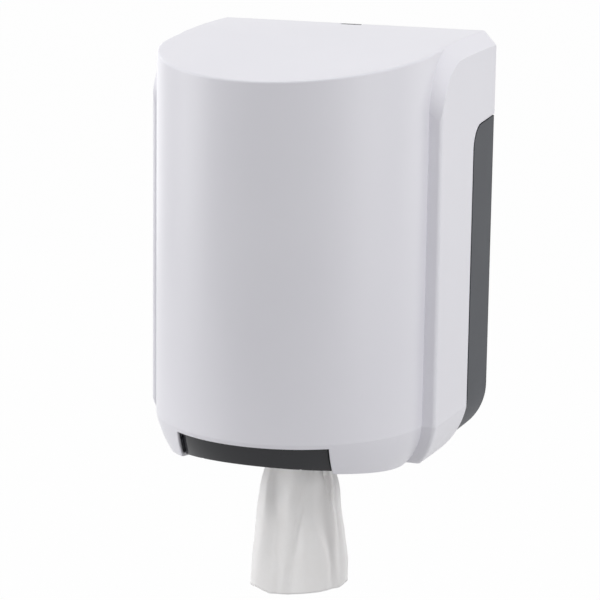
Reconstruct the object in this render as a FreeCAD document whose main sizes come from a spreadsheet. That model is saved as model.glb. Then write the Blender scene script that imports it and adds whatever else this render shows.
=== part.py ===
import FreeCAD, Part
import math
import os
import Sketcher
from FreeCAD import Placement, Rotation, Vector

# Wall-hung centrefeed roll dispenser.
# Millimetres. X is to the right, Y points into the wall and Z is up. The wall is the plane Y = 0,
# so a depth in front of the wall is a negative Y. The origin is the centre of the four wall holes.

# Driving sizes

SIZES = {
    # cover, outer form
    "cover_height": 344.0,
    "cover_width": 250.0,
    "cover_depth": 236.0,
    "cover_wall": 2.6,
    "crown_drop": 21.5,
    "belly_rise": 20.0,
    "side_draft": 0.73,
    "drum_width": 228.8,
    "cheek_ahead": 10.32,
    "bevel_height": 11.5,
    "cheek_corner_radius": 48.0,
    "cheek_edge_radius": 3.0,
    "top_edge_radius": 2.0,
    "cut_edge_radius": 0.8,
    "skirt_height": 41.0,
    "skirt_lean": 10.3,
    "front_round": 106.0,
    "side_round": 69.0,
    # openings in the cover
    "side_cut_below_top": 67.0,
    "side_cut_slope": 6.0,
    "side_cut_depth": 53.0,
    "side_cut_radius": 20.0,
    "outlet_cut_width": 127.0,
    "outlet_cut_height": 37.6,
    # base
    "base_plate": 3.0,
    "base_wall": 2.6,
    "base_corner_radius": 48.0,
    "tray_corner_radius": 46.0,
    "base_flange": 11.0,
    "cover_gap": 0.9,
    "skin_gap": 0.8,
    "wall_hole_spacing_x": 140.0,
    "wall_hole_spacing_z": 200.0,
    "wall_hole_diameter": 5.5,
    "wall_boss_diameter": 16.0,
    "wall_boss_height": 2.5,
    # hinge
    "hinge_depth": 22.0,
    "hinge_height": 14.0,
    "hinge_inset": 45.0,
    "hinge_pin_diameter": 5.0,
    "hinge_running_gap": 0.06,
    "bush_wall": 1.5,
    "lug_radius": 7.5,
    "lug_width": 5.4,
    "lug_side_gap": 0.4,
    "ear_width": 5.4,
    "lug_root_depth": 84.0,
    "hinge_slot_back": 10.0,
    "pin_head_diameter": 8.0,
    "pin_head_height": 1.5,
    "pin_tail": 1.3,
    "clip_thickness": 0.9,
    "clip_diameter": 9.0,
    "clip_groove_depth": 0.5,
    "clip_side_gap": 0.3,
    # roll and shelf
    "roll_diameter": 196.0,
    "roll_width": 210.0,
    "roll_core_diameter": 64.0,
    "roll_edge_radius": 1.5,
    "shelf_height": 50.0,
    "shelf_thickness": 3.0,
    "shelf_gap": 5.0,
    "rim_height": 12.0,
    "rim_thickness": 2.4,
    "rim_gap": 2.6,
    "shelf_flange_height": 24.0,
    "shelf_boss_height": 8.0,
    "shelf_boss_diameter": 10.0,
    "shelf_screw_spread": 156.0,
    "gusset_spread": 110.0,
    "gusset_thickness": 3.0,
    # outlet
    "collar_bore": 68.0,
    "collar_wall": 3.0,
    "collar_height": 14.0,
    "bayonet_lip": 4.0,
    "bayonet_lip_thickness": 2.4,
    "bayonet_angle": 50.0,
    "bayonet_count": 3,
    "nozzle_gap": 0.4,
    "nozzle_wall": 2.4,
    "nozzle_cone_height": 22.0,
    "nozzle_mouth_diameter": 32.0,
    "nozzle_flange_thickness": 2.6,
    "nozzle_lug_angle": 46.0,
    "nozzle_lug_thickness": 2.4,
    "grip_ring_diameter": 78.0,
    "grip_ring_wall": 3.0,
    "grip_ring_height": 7.0,
    "grip_groove_diameter": 2.4,
    "grip_groove_count": 24,
    # front window
    "window_side_gap": 2.0,
    "window_recess": 4.2,
    "window_wall": 2.4,
    "window_foot_rise": 2.0,
    "window_tab_depth": 16.0,
    "window_screw_length": 4.8,
    "window_screw_angle": 24.0,
    # lock
    "bolt_width": 16.4,
    "bolt_thickness": 4.5,
    "bolt_back": 1.6,
    "bolt_gap": 0.3,
    "bolt_length": 30.9,
    "bolt_travel": 3.0,
    "bolt_foot_width": 21.0,
    "bolt_foot_height": 4.0,
    "key_slot_width": 8.0,
    "key_slot_thickness": 1.6,
    "key_slot_depth": 2.5,
    "notch_gap": 1.0,
    "housing_height": 14.4,
    "housing_wall": 5.0,
    "lock_plate_thickness": 2.4,
    "spring_pocket_depth": 1.3,
    "spring_pocket_width": 10.0,
    "spring_pocket_height": 12.0,
    "spring_leaf": 0.4,
    "arm_width": 11.0,
    "arm_height": 2.4,
    "arm_reach": 12.2,
    "arm_below_cover": 0.6,
    "hook_drop": 2.8,
    "hook_thickness": 2.6,
    "catch_thickness": 2.4,
    "catch_bar_height": 2.1,
    "catch_gap": 0.8,
    "catch_clearance": 0.7,
    "catch_side_gap": 2.0,
    "catch_socket": 1.0,
    # screws
    "shelf_screw_diameter": 4.0,
    "shelf_screw_length": 9.0,
    "shelf_screw_head_diameter": 7.6,
    "shelf_screw_head_height": 2.4,
    "lock_screw_diameter": 2.2,
    "lock_screw_length": 6.0,
    "lock_screw_head_diameter": 4.2,
    "lock_screw_head_height": 1.5,
    "window_screw_diameter": 2.9,
    "window_screw_head_diameter": 5.6,
    "window_screw_head_height": 1.8,
    "screw_slot_width": 0.9,
    "screw_slot_depth": 1.0,
    # paper
    "strand_width": 20.0,
    "strand_thickness": 11.0,
    "strand_rise": 34.0,
    "tail_length": 124.0,
    "tail_waist_width": 64.0,
    "tail_hem_width": 90.0,
    "tail_depth": 26.0,
    "tail_ply": 9.0,
    "tail_shift": 4.0,
}

doc = FreeCAD.newDocument("centrefeed_dispenser")
sheet = doc.addObject("Spreadsheet::Sheet", "sizes")
for row, (alias, number) in enumerate(SIZES.items(), start=1):
    sheet.set("A%d" % row, alias)
    sheet.set("B%d" % row, str(number))
    sheet.setAlias("B%d" % row, alias)
doc.recompute()


class Size:
    """A length that knows its value and its formula in the sheet."""

    def __init__(self, value, formula):
        self.value = value
        self.formula = formula

    def joined(self, other, sign, value):
        return Size(value, "(%s %s %s)" % (self.formula, sign, other.formula))

    def __add__(self, other):
        other = as_size(other)
        return self.joined(other, "+", self.value + other.value)

    def __sub__(self, other):
        other = as_size(other)
        return self.joined(other, "-", self.value - other.value)

    def __mul__(self, other):
        other = as_size(other)
        return self.joined(other, "*", self.value * other.value)

    def __truediv__(self, other):
        other = as_size(other)
        return self.joined(other, "/", self.value / other.value)

    def __neg__(self):
        return Size(-self.value, "(0 - %s)" % self.formula)

    def __radd__(self, other):
        return as_size(other) + self

    def __rsub__(self, other):
        return as_size(other) - self


def as_size(number):
    return number if isinstance(number, Size) else Size(float(number), repr(float(number)))


def cell(alias):
    """The named size as a value with its formula."""
    return Size(float(sheet.get(alias)), "sizes.%s" % alias)


def mm(alias):
    """The named size as a plain number."""
    return float(sheet.get(alias))


# Places that several pieces share, with their formulas

top = cell("cover_height") / 2
bottom = -top
hinge_y = -cell("hinge_depth")
hinge_z = bottom + cell("hinge_height")
roll_radius = cell("roll_diameter") / 2
shelf_low = bottom + cell("shelf_height") - cell("shelf_thickness")
shelf_top = bottom + cell("shelf_height")
collar_low = shelf_low - cell("collar_height")

# Lock: the bolt stands in its channel, and its hook reaches over the bar of the cover's catch

bolt_low = top - cell("bolt_length")
housing_low = bolt_low + cell("bolt_foot_height") + cell("bolt_gap")
housing_top = housing_low + cell("housing_height")
channel_half = cell("bolt_width") / 2 + cell("bolt_gap")
channel_front = cell("bolt_back") + cell("bolt_thickness") + cell("bolt_gap")
housing_half = channel_half + cell("housing_wall")
arm_low = top - cell("cover_wall") - cell("arm_below_cover") - cell("arm_height")
hook_low = arm_low - cell("hook_drop")
hook_back = cell("bolt_back") + cell("arm_reach") - cell("hook_thickness")
catch_front = hook_back - cell("catch_gap")
catch_top = hook_low - cell("catch_clearance")
catch_half = cell("arm_width") / 2 + cell("catch_side_gap")
lock_screw_x = channel_half + cell("housing_wall") / 2
lock_screw_z = (housing_top + housing_low) / 2
shelf_screw_half = cell("shelf_screw_spread") / 2
shelf_screw_z = shelf_low - cell("shelf_flange_height") / 2
hinge_half = cell("cover_width") / 2 - cell("hinge_inset")

# Plan of the cover: slightly tapered sides with a round front

draft = math.tan(math.radians(mm("side_draft")))
draft_cos = math.cos(math.radians(mm("side_draft")))
bevel_width = (mm("cover_width") - mm("drum_width")) / 2
bevel_slope = mm("bevel_height") / bevel_width
skirt_z = bottom.value + mm("skirt_height")
PAST = 12.0             # how far cutting bodies reach past what they cut
SKIRT_LEVELS = 5        # outlines that each rounded band is drawn through
NEARLY_FLAT = 0.985     # share of its radius at which a rounding ends, just short of flat
SMALLEST_RADIUS = 0.4   # least rounding of an inner corner
FULL_TURN = 360.0
TOUCH = 1e-6            # two points this close are the same point
NEAR = 0.01             # an edge this close to a surface lies on it
SCREW_ROW = (-1.0, -1 / 3, 1 / 3, 1.0)  # places of the shelf's screws as shares of their half spread

# Sections of the paper strand, from the mouth up: width and thickness as shares of the strand's own,
# and how far the section is moved to the right, as a share of the strand's width.
STRAND_SECTIONS = ((1.0, 1.0, 0.0), (1.1, 1.0, 0.0), (1.4, 1.0, 0.05), (1.9, 0.8, 0.15))

# Sections of the hanging paper below its neck: the share of the length, of the sideways shift, of the way
# from waist to hem and of the depth, and the lean of the folds.
TAIL_SECTIONS = ((0.2, 0.5, 0.0, 0.8, 0.7), (0.6, 1.0, 0.5, 1.0, 0.2), (1.0, 0.5, 1.0, 1.0, 0.0))

# Folds of the hanging paper, from its left edge to its right: the share of the width, how far
# forwards the fold stands (0 is the front) and how much it leans to the right at the top.
TAIL_FOLDS = (
    (0.0, 0.25, 0.0), (0.22, 0.45, 0.0), (0.48, 0.12, 0.06), (0.56, 0.16, 0.06), (0.64, 0.05, 0.05),
    (0.74, 0.62, 0.02), (0.84, 0.72, 0.0), (0.93, 0.5, 0.0), (1.0, 0.22, 0.0),
)


def drum_arc(side_inset, front_inset):
    """Radius and centre depth of the round front, tangent to the tapered sides."""
    half = mm("drum_width") / 2 - side_inset
    front = mm("cover_depth") - front_inset
    radius = draft_cos * (half - draft * front) / (1 - draft * draft_cos)
    return radius, front - radius


drum_radius, roll_depth = drum_arc(0.0, 0.0)
roll_y = -roll_depth
cheek_depth = roll_depth + mm("cheek_ahead")


def polyline(points, closed=True):
    ends = points[1:] + points[:1] if closed else points[1:]
    return [Part.LineSegment(a, b).toShape() for a, b in zip(points, ends)]


def arc(start, middle, end):
    return Part.Arc(start, middle, end).toShape()


def edge_through(*points):
    """Straight edge through two points, or arc through three."""
    return arc(*points) if len(points) > 2 else Part.LineSegment(*points).toShape()


def face(edges):
    return Part.Face(Part.Wire(edges))


def corner_arc(before, here, after, radius):
    """Start, middle and end of the arc that rounds the corner here."""
    to_before = (before - here).normalize()
    to_after = (after - here).normalize()
    half = to_before.getAngle(to_after) / 2
    reach = radius / math.tan(half)
    inner = (to_before + to_after).normalize()
    middle = here + inner * (radius / math.sin(half) - radius)
    return here + to_before * reach, middle, here + to_after * reach


def inner_radius(alias, inset):
    """Radius of a rounded corner once its outline is drawn in."""
    return max(mm(alias) - inset, SMALLEST_RADIUS)


def plan_wire(z, side_inset, front_inset, cheek_inset, back, cheek_radius=None):
    """Closed outline at one height, with cheeks where their corner radius is given.

    back is the depth where the outline starts.
    """
    radius, centre = drum_arc(side_inset, front_inset)
    if cheek_radius is None:
        half = mm("drum_width") / 2 - side_inset
        side = centre + radius * draft * draft_cos
        right = [(Vector(half - draft * back, -back, z), Vector(half - draft * side, -side, z))]
    else:
        half = mm("cover_width") / 2 - side_inset
        step = cheek_depth - cheek_inset
        start = Vector(half - draft * back, -back, z)
        crease = Vector(math.sqrt(radius ** 2 - (step - centre) ** 2), -step, z)
        bend = corner_arc(start, Vector(half - draft * step, -step, z), crease, cheek_radius)
        right = [(start, bend[0]), bend, (bend[-1], crease)]
    end = right[-1][-1]
    half_way = (math.atan2(-end.y - centre, end.x) + math.pi / 2) / 2
    turn = Vector(radius * math.cos(half_way), -(centre + radius * math.sin(half_way)), z)
    right.append((end, turn, Vector(0, -(centre + radius), z)))
    left = [[Vector(-p.x, p.y, p.z) for p in reversed(points)] for points in reversed(right)]
    edges = [edge_through(*points) for points in right + left]
    edges.append(edge_through(left[-1][-1], right[0][0]))
    return Part.Wire(edges)


def skirt_inset(radius, drop):
    """How far the rounded skirt has drawn in at a drop below the crease, starting with a slight lean."""
    lean = math.radians(mm("skirt_lean"))
    sine = min(drop / radius + math.sin(lean), 1.0)
    return radius * (math.cos(lean) - math.sqrt(1 - sine ** 2))


def skirt_level(drop, inset, back):
    side = inset + skirt_inset(mm("side_round") - inset, drop)
    front = inset + skirt_inset(mm("front_round") - inset, drop)
    return plan_wire(skirt_z - drop, side, front, side, back, inner_radius("cheek_edge_radius", inset))


def skirt(inset, back):
    """The rounded lower part of the form: front and sides turn in until they are flat or below the form."""
    share = NEARLY_FLAT - math.sin(math.radians(mm("skirt_lean")))
    full = mm("skirt_height") + mm("cover_wall")
    turns = {min((mm(name) - inset) * share, full) for name in ("front_round", "side_round")}
    reaches = [0.0] + sorted(turns)
    bands = []
    for high, low in zip(reaches, reaches[1:]):
        shares = [math.sin(math.pi / 2 * level / SKIRT_LEVELS) for level in range(SKIRT_LEVELS + 1)]
        wires = [skirt_level(high + (low - high) * share, inset, back) for share in shares]
        bands.append(Part.makeLoft(wires, True, False))
    if reaches[-1] < full:
        bands.append(Part.Face(wires[-1]).extrude(Vector(0, 0, reaches[-1] - full)))
    return bands[0].fuse(bands[1:]) if bands[1:] else bands[0]


def crown(depth):
    """Drop of the top surface at a depth."""
    radius = (mm("cover_depth") ** 2 + mm("crown_drop") ** 2) / (2 * mm("crown_drop"))
    return radius - math.sqrt(radius ** 2 - depth ** 2)


def belly(depth):
    """Rise of the bottom surface at a depth."""
    radius = (mm("cover_depth") ** 2 + mm("belly_rise") ** 2) / (2 * mm("belly_rise"))
    return radius - math.sqrt(radius ** 2 - depth ** 2)


def between_top_and_bottom(inset, back, floor_rise):
    """The slab between the crowned top and the rising bottom, wide in X."""
    reach = mm("cover_depth") + PAST
    wide = mm("cover_width") / 2 + PAST

    def at(depth, z):
        return Vector(-wide, -depth, z)

    middle = (back + reach) / 2
    top_arc = arc(*[at(d, top.value - inset - crown(d)) for d in (back, middle, reach)])
    low_arc = arc(*[at(d, bottom.value + floor_rise + belly(d)) for d in (reach, middle, back)])
    ends = [
        Part.LineSegment(top_arc.Vertexes[-1].Point, low_arc.Vertexes[0].Point).toShape(),
        Part.LineSegment(low_arc.Vertexes[-1].Point, top_arc.Vertexes[0].Point).toShape(),
    ]
    return face([top_arc, ends[0], low_arc, ends[1]]).extrude(Vector(2 * wide, 0, 0))


def cheek(side, inset, back):
    """One cheek above the crease: its side outline pushed in and up along the bevel."""
    half = mm("cover_width") / 2 - inset
    edge_drop = mm("bevel_height") + inset * (math.sqrt(1 + bevel_slope ** 2) - bevel_slope)
    front = cheek_depth - inset
    radius = mm("cheek_corner_radius") - inset
    inward = mm("drum_width") / 4
    low = skirt_z - inward * bevel_slope - PAST

    def at(depth, z):
        return Vector(side * (half - draft * depth), -depth, z)

    centre_depth = front - radius
    centre_z = top.value - edge_drop - crown(centre_depth) - radius
    eighth = math.pi / 4
    corner = arc(
        at(centre_depth, centre_z + radius),
        at(centre_depth + radius * math.cos(eighth), centre_z + radius * math.sin(eighth)),
        at(front, centre_z),
    )
    middle = (back + centre_depth) / 2
    upper = arc(
        at(back, top.value - edge_drop - crown(back)),
        at(middle, top.value - edge_drop - crown(middle)),
        at(centre_depth, centre_z + radius),
    )
    sides = polyline([at(front, centre_z), at(front, low), at(back, low), upper.Vertexes[0].Point], False)
    block = face([upper, corner] + sides).extrude(Vector(-side * inward, 0, inward * bevel_slope))
    corner_radius = inner_radius("cheek_edge_radius", inset)
    plan = Part.Face(plan_wire(skirt_z, inset, inset, inset, back, corner_radius))
    return block.common(plan.extrude(Vector(0, 0, top.value - skirt_z + PAST)))


def cover_form(inset, back, floor_rise=None):
    """The closed outer form of the cover, drawn in by inset, from the depth back forwards.

    Its bottom is raised by floor_rise, or else by inset.
    """
    drum = Part.Face(plan_wire(skirt_z, inset, inset, inset, back))
    drum = drum.extrude(Vector(0, 0, top.value - skirt_z + PAST))
    form = drum.fuse([cheek(1, inset, back), cheek(-1, inset, back), skirt(inset, back)])
    slab = between_top_and_bottom(inset, back, inset if floor_rise is None else floor_rise)
    form = form.common(slab).removeSplitter()
    return form.Solids[0]


def box_between(low, high):
    """Box from its lowest to its highest corner."""
    size = Vector(*high) - Vector(*low)
    return Part.makeBox(size.x, size.y, size.z, Vector(*low))


def rod(radius, start, end):
    start = Vector(*start)
    axis = Vector(*end) - start
    return Part.makeCylinder(radius, axis.Length, start, axis)


def rounded(points, radii):
    """Edges of a closed flat outline whose corners are rounded by the radii, 0 for a sharp one."""
    count = len(points)
    ends = []
    corners = []
    for i in range(count):
        here, before, after = points[i], points[i - 1], points[(i + 1) % count]
        if radii[i] == 0:
            ends.append((here, here))
            corners.append(None)
            continue
        start, middle, end = corner_arc(before, here, after, radii[i])
        ends.append((start, end))
        corners.append(arc(start, middle, end))
    edges = []
    for i in range(count):
        if corners[i]:
            edges.append(corners[i])
        start, end = ends[i][1], ends[(i + 1) % count][0]
        if start.distanceToPoint(end) > TOUCH:
            edges.append(Part.LineSegment(start, end).toShape())
    return edges


def side_cut(gap):
    """What the cover leaves free beside the wall, less a gap, as a body across the whole width."""
    wide = mm("cover_width")
    edge = mm("side_cut_depth") - gap
    high = top.value - mm("side_cut_below_top") - gap
    outline = [(-PAST, high), (edge, high - mm("side_cut_slope")), (edge, bottom.value - PAST),
               (-PAST, bottom.value - PAST)]
    points = [Vector(-wide, -depth, z) for depth, z in outline]
    radius = mm("side_cut_radius") - gap
    return face(rounded(points, [0, radius, 0, 0])).extrude(Vector(2 * wide, 0, 0))


# Front cover

hinge_x = hinge_half.value
lug_half = mm("lug_width") / 2
bush_radius = mm("hinge_pin_diameter") / 2 + mm("hinge_running_gap") + mm("bush_wall")


def hinge_lug(side):
    """The tongue that reaches back from the cover's floor to the hinge pin."""
    radius = mm("lug_radius")
    root = mm("lug_root_depth")
    back = mm("hinge_depth")
    axis_z = hinge_z.value
    floor = bottom.value + belly(mm("side_cut_depth")) + mm("cover_wall") / 2
    x = side * hinge_x - lug_half
    start = mm("side_cut_depth")
    outline = [(back, axis_z + radius), (start, axis_z + radius), (root, floor + radius), (root, floor),
               (start + radius, floor), (start, axis_z - radius), (back, axis_z - radius)]
    tongue = face(polyline([Vector(x, -d, z) for d, z in outline])).extrude(Vector(2 * lug_half, 0, 0))
    eye = rod(radius, (x, hinge_y.value, axis_z), (x + 2 * lug_half, hinge_y.value, axis_z))
    hole = rod(bush_radius, (x - PAST, hinge_y.value, axis_z), (x + PAST, hinge_y.value, axis_z))
    return tongue.fuse(eye).cut(hole)


def catch_sockets():
    """The two blind slots in the cover's top that hold the catch's posts."""
    near = catch_front.value - mm("catch_thickness")
    high = top.value - mm("cover_wall") + mm("catch_socket")
    half = catch_half.value
    outer = half + mm("catch_thickness")
    return [
        box_between((min(x), -catch_front.value, catch_top.value), (max(x), -near, high))
        for x in ((half, outer), (-half, -outer))
    ]


def lock_notch():
    """The slot in the cover's top edge that leaves the bolt's head behind as the cover opens."""
    half = mm("bolt_width") / 2 + mm("notch_gap")
    depth = mm("bolt_back") + mm("bolt_thickness") + mm("notch_gap")
    return box_between((-half, -depth, top.value - PAST / 2), (half, PAST, top.value + PAST))


def outlet_cut():
    """The wide opening at the foot of the cover that the window and the nozzle stand in."""
    half = mm("outlet_cut_width") / 2
    return box_between(
        (-half, -mm("cover_depth") - PAST, bottom.value - PAST),
        (half, PAST, bottom.value + mm("outlet_cut_height")),
    )


def with_round_top(form):
    """The form with the edges of its crowned top rounded, apart from the one at the wall."""
    crowned = max(form.Faces, key=lambda surface: surface.CenterOfMass.z)
    edges = [edge for edge in crowned.Edges if edge.CenterOfMass.y < -TOUCH]
    return form.makeFillet(mm("top_edge_radius"), edges).Solids[0]


def with_soft_cuts(shell, form, cutters):
    """The shell with its visible edges round the side cuts and the outlet's top and sides softened."""
    outside = Part.Shell(form.Faces)
    walls = [Part.Shell(cutter.Faces) for cutter in cutters]
    half_way_up = bottom.value + mm("outlet_cut_height") / 2
    edges = []
    for edge in shell.Edges:
        middle = edge.valueAt((edge.FirstParameter + edge.LastParameter) / 2)
        point = Part.Vertex(middle)
        if middle.y > -TOUCH or outside.distToShape(point)[0] > NEAR:
            continue
        at_side, at_outlet = [wall.distToShape(point)[0] < NEAR for wall in walls]
        if (at_outlet and middle.z > half_way_up) or (at_side and middle.z > skirt_z):
            edges.append(edge)
    return shell.makeFillet(min(mm("cut_edge_radius"), mm("cover_wall") / 3), edges).Solids[0]


def front_cover():
    form = with_round_top(cover_form(0.0, 0.0))
    cutters = [side_cut(0.0), outlet_cut()]
    shell = form.cut(cover_form(mm("cover_wall"), -PAST / 2))
    shell = shell.cut(cutters + [lock_notch()] + catch_sockets())
    shell = max(shell.Solids, key=lambda solid: solid.Volume)
    shell = with_soft_cuts(shell, form, cutters)
    return shell.fuse([hinge_lug(1), hinge_lug(-1)]).removeSplitter()


# Back base

tray_half = (mm("cover_width") / 2 - mm("cover_wall") - mm("cover_gap")
             - draft * (mm("side_cut_depth") + mm("base_flange")))
tray_inset = mm("cover_width") / 2 - tray_half
tray_depth = mm("side_cut_depth") + mm("base_flange")
tray_low = bottom.value + belly(tray_depth) + mm("cover_wall") + mm("cover_gap")


def tray_outline(inset, y):
    """Outline of the tray inside the cover, drawn in by inset."""
    half = tray_half - inset
    clear = mm("cover_wall") + mm("cover_gap") + inset
    slant = math.sqrt(1 + bevel_slope ** 2)
    drum_half = mm("drum_width") / 2
    high = top.value - clear
    shoulder_x = drum_half - clear * (slant - 1) / bevel_slope
    shoulder_z = top.value - (half - drum_half) * bevel_slope - clear * slant
    low = tray_low + inset
    outline = [(half, low), (half, shoulder_z), (shoulder_x, high), (-shoulder_x, high),
               (-half, shoulder_z), (-half, low)]
    radius = mm("tray_corner_radius") - inset
    points = [Vector(x, y, z) for x, z in outline]
    return face(rounded(points, [radius, 0, 0, 0, 0, radius]))


def skin_outline(inset, y):
    """Outline of the outer skin that shows beside the wall."""
    half = mm("cover_width") / 2 - draft * mm("side_cut_depth") / 2 - inset
    low = bottom.value + inset
    outline = [(half, low), (half, top.value), (-half, top.value), (-half, low)]
    radius = mm("base_corner_radius") - inset
    points = [Vector(x, y, z) for x, z in outline]
    return face(rounded(points, [radius, 0, 0, radius]))


def wall_hole_places():
    half_x = mm("wall_hole_spacing_x") / 2
    half_z = mm("wall_hole_spacing_z") / 2
    return [(x, z) for x in (-half_x, half_x) for z in (-half_z, half_z)]


def shelf_screw_places():
    return [(shelf_screw_half.value * share, shelf_screw_z.value) for share in SCREW_ROW]


def hinge_ear(side, outward):
    """One of the two ears that hold a hinge pin."""
    inner = lug_half + mm("lug_side_gap")
    x = side * hinge_x + (inner if outward > 0 else -inner - mm("ear_width"))
    radius = mm("lug_radius")
    axis_z = hinge_z.value
    low = bottom.value + tray_inset
    web = box_between(
        (x, hinge_y.value, low),
        (x + mm("ear_width"), -mm("base_plate") / 2, axis_z + radius),
    )
    foot = box_between(
        (x, hinge_y.value - radius, low),
        (x + mm("ear_width"), hinge_y.value, axis_z),
    )
    eye = rod(radius, (x, hinge_y.value, axis_z), (x + mm("ear_width"), hinge_y.value, axis_z))
    return web.fuse([foot, eye])


def heel_room():
    """What the rear edge of the cover's floor sweeps as it swings down past the skin."""
    radius = mm("side_cut_depth") - mm("hinge_depth") - mm("skin_gap")
    wide = mm("cover_width")
    below = box_between(
        (-wide, -mm("cover_depth"), bottom.value - PAST),
        (wide, hinge_y.value, hinge_z.value),
    )
    ends = [(side * wide, hinge_y.value, hinge_z.value) for side in (-1, 1)]
    return below.cut(rod(radius, *ends))


def lock_housing():
    """The cheeks on the base that guide the lock's bolt, before its channel is cut."""
    half = housing_half.value
    return box_between(
        (-half, -channel_front.value, housing_low.value),
        (half, -mm("base_plate") / 2, housing_top.value),
    )


def lock_channel():
    """The space that the bolt and its foot slide in, and the holes of the plate's screws."""
    half = channel_half.value
    foot_half = mm("bolt_foot_width") / 2 + mm("bolt_gap")
    low = bolt_low.value - mm("bolt_travel") - mm("bolt_gap")
    front = -channel_front.value - PAST
    back = mm("bolt_gap") - mm("bolt_back")
    channel = box_between((-half, front, low), (half, back, top.value))
    foot_room = box_between((-foot_half, front, low), (foot_half, back, housing_low.value))
    x = lock_screw_x.value
    z = lock_screw_z.value
    start = channel_front.value + mm("lock_plate_thickness") - mm("lock_screw_length")
    holes = [rod(mm("lock_screw_diameter") / 2, (side * x, -start, z), (side * x, -start - PAST, z))
             for side in (1, -1)]
    return [channel, foot_room] + holes


def back_base():
    plate = mm("base_plate")
    wall = mm("base_wall")
    tray = tray_outline(0.0, 0.0).extrude(Vector(0, -tray_depth, 0))
    hollow = tray_outline(wall, -plate).extrude(Vector(0, -tray_depth, 0))
    wide = mm("cover_width")
    high = top.value - mm("side_cut_below_top") + mm("base_flange")
    above = box_between((-wide, -wide, high), (wide, -plate, wide))
    tray = tray.cut([hollow, above])
    skin = skin_outline(0.0, 0.0).extrude(Vector(0, -mm("cover_depth"), 0))
    inside = skin_outline(tray_inset + wall / 2, PAST)
    inside = inside.extrude(Vector(0, -mm("cover_depth") - 2 * PAST, 0))
    skin = skin.cut(inside).common(side_cut(mm("skin_gap"))).cut(heel_room())
    base = tray.fuse(skin)
    bosses = [
        rod(mm("wall_boss_diameter") / 2, (x, -plate / 2, z), (x, -plate - mm("wall_boss_height"), z))
        for x, z in wall_hole_places()
    ]
    bosses += [
        rod(mm("shelf_boss_diameter") / 2, (x, -plate / 2, z), (x, -plate - mm("shelf_boss_height"), z))
        for x, z in shelf_screw_places()
    ]
    ears = [hinge_ear(side, outward) for side in (1, -1) for outward in (1, -1)]
    base = base.fuse(bosses + ears + [lock_housing()])
    pin = mm("hinge_pin_diameter") / 2
    reach = hinge_x + lug_half + 2 * mm("ear_width")
    cuts = [rod(pin, (-reach, hinge_y.value, hinge_z.value), (reach, hinge_y.value, hinge_z.value))]
    cuts += [
        rod(mm("wall_hole_diameter") / 2, (x, PAST, z), (x, -PAST, z)) for x, z in wall_hole_places()
    ]
    cuts += [
        rod(mm("shelf_screw_diameter") / 2, (x, -plate, z), (x, -plate - PAST, z))
        for x, z in shelf_screw_places()
    ]
    cuts += lock_channel()
    slot_half = lug_half + mm("lug_side_gap")
    for side in (1, -1):
        x = side * hinge_x
        cuts.append(box_between(
            (x - slot_half, -tray_depth - PAST, bottom.value - PAST),
            (x + slot_half, -mm("hinge_slot_back"), hinge_z.value),
        ))
    base = base.cut(cuts).removeSplitter()
    return max(base.Solids, key=lambda solid: solid.Volume)


# Roll shelf

window_tab_low = shelf_low - cell("window_wall")
window_screw_tip = window_tab_low + cell("window_screw_length")
shelf_half = drum_radius - mm("cover_wall") - mm("shelf_gap")
shelf_back = mm("base_plate") + mm("shelf_boss_height")
bore_radius = mm("collar_bore") / 2
lip_radius = bore_radius - mm("bayonet_lip")


def sector(outer, inner, low, high, start, sweep):
    """Part of a ring round the roll axis, from one height to another."""
    centre = Vector(0, roll_y, low)
    solid = Part.makeCylinder(outer, high - low, centre, Vector(0, 0, 1), sweep)
    solid.rotate(centre, Vector(0, 0, 1), start)
    core = Part.makeCylinder(inner, high - low, centre)
    return solid.cut(core)


def ring(outer, inner, low, high):
    return sector(outer, inner, low, high, 0, FULL_TURN)


def bayonet_starts():
    """Angles at which the collar's lips start, the first one centred on the wall's side."""
    count = int(mm("bayonet_count"))
    return [FULL_TURN / 4 + FULL_TURN / count * i - mm("bayonet_angle") / 2 for i in range(count)]


def gusset(side):
    """The rib that stiffens the shelf from its back flange to its front."""
    half = mm("gusset_thickness") / 2
    x = side * mm("gusset_spread") / 2 - half
    far = roll_depth + drum_radius / 2
    near = shelf_back
    low = shelf_low.value - mm("shelf_flange_height")
    high = shelf_low.value + mm("shelf_thickness") / 2
    outline = [(near, high), (far, high), (far, shelf_low.value - mm("gusset_thickness")), (near, low)]
    points = [Vector(x, -d, z) for d, z in outline]
    return face(polyline(points)).extrude(Vector(2 * half, 0, 0))


def window_screw_places():
    radius = drum_radius - mm("window_recess") - mm("window_tab_depth") / 2
    places = []
    for angle in (-mm("window_screw_angle"), 0.0, mm("window_screw_angle")):
        turn = math.radians(angle)
        places.append((radius * math.sin(turn), roll_y - radius * math.cos(turn)))
    return places


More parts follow.
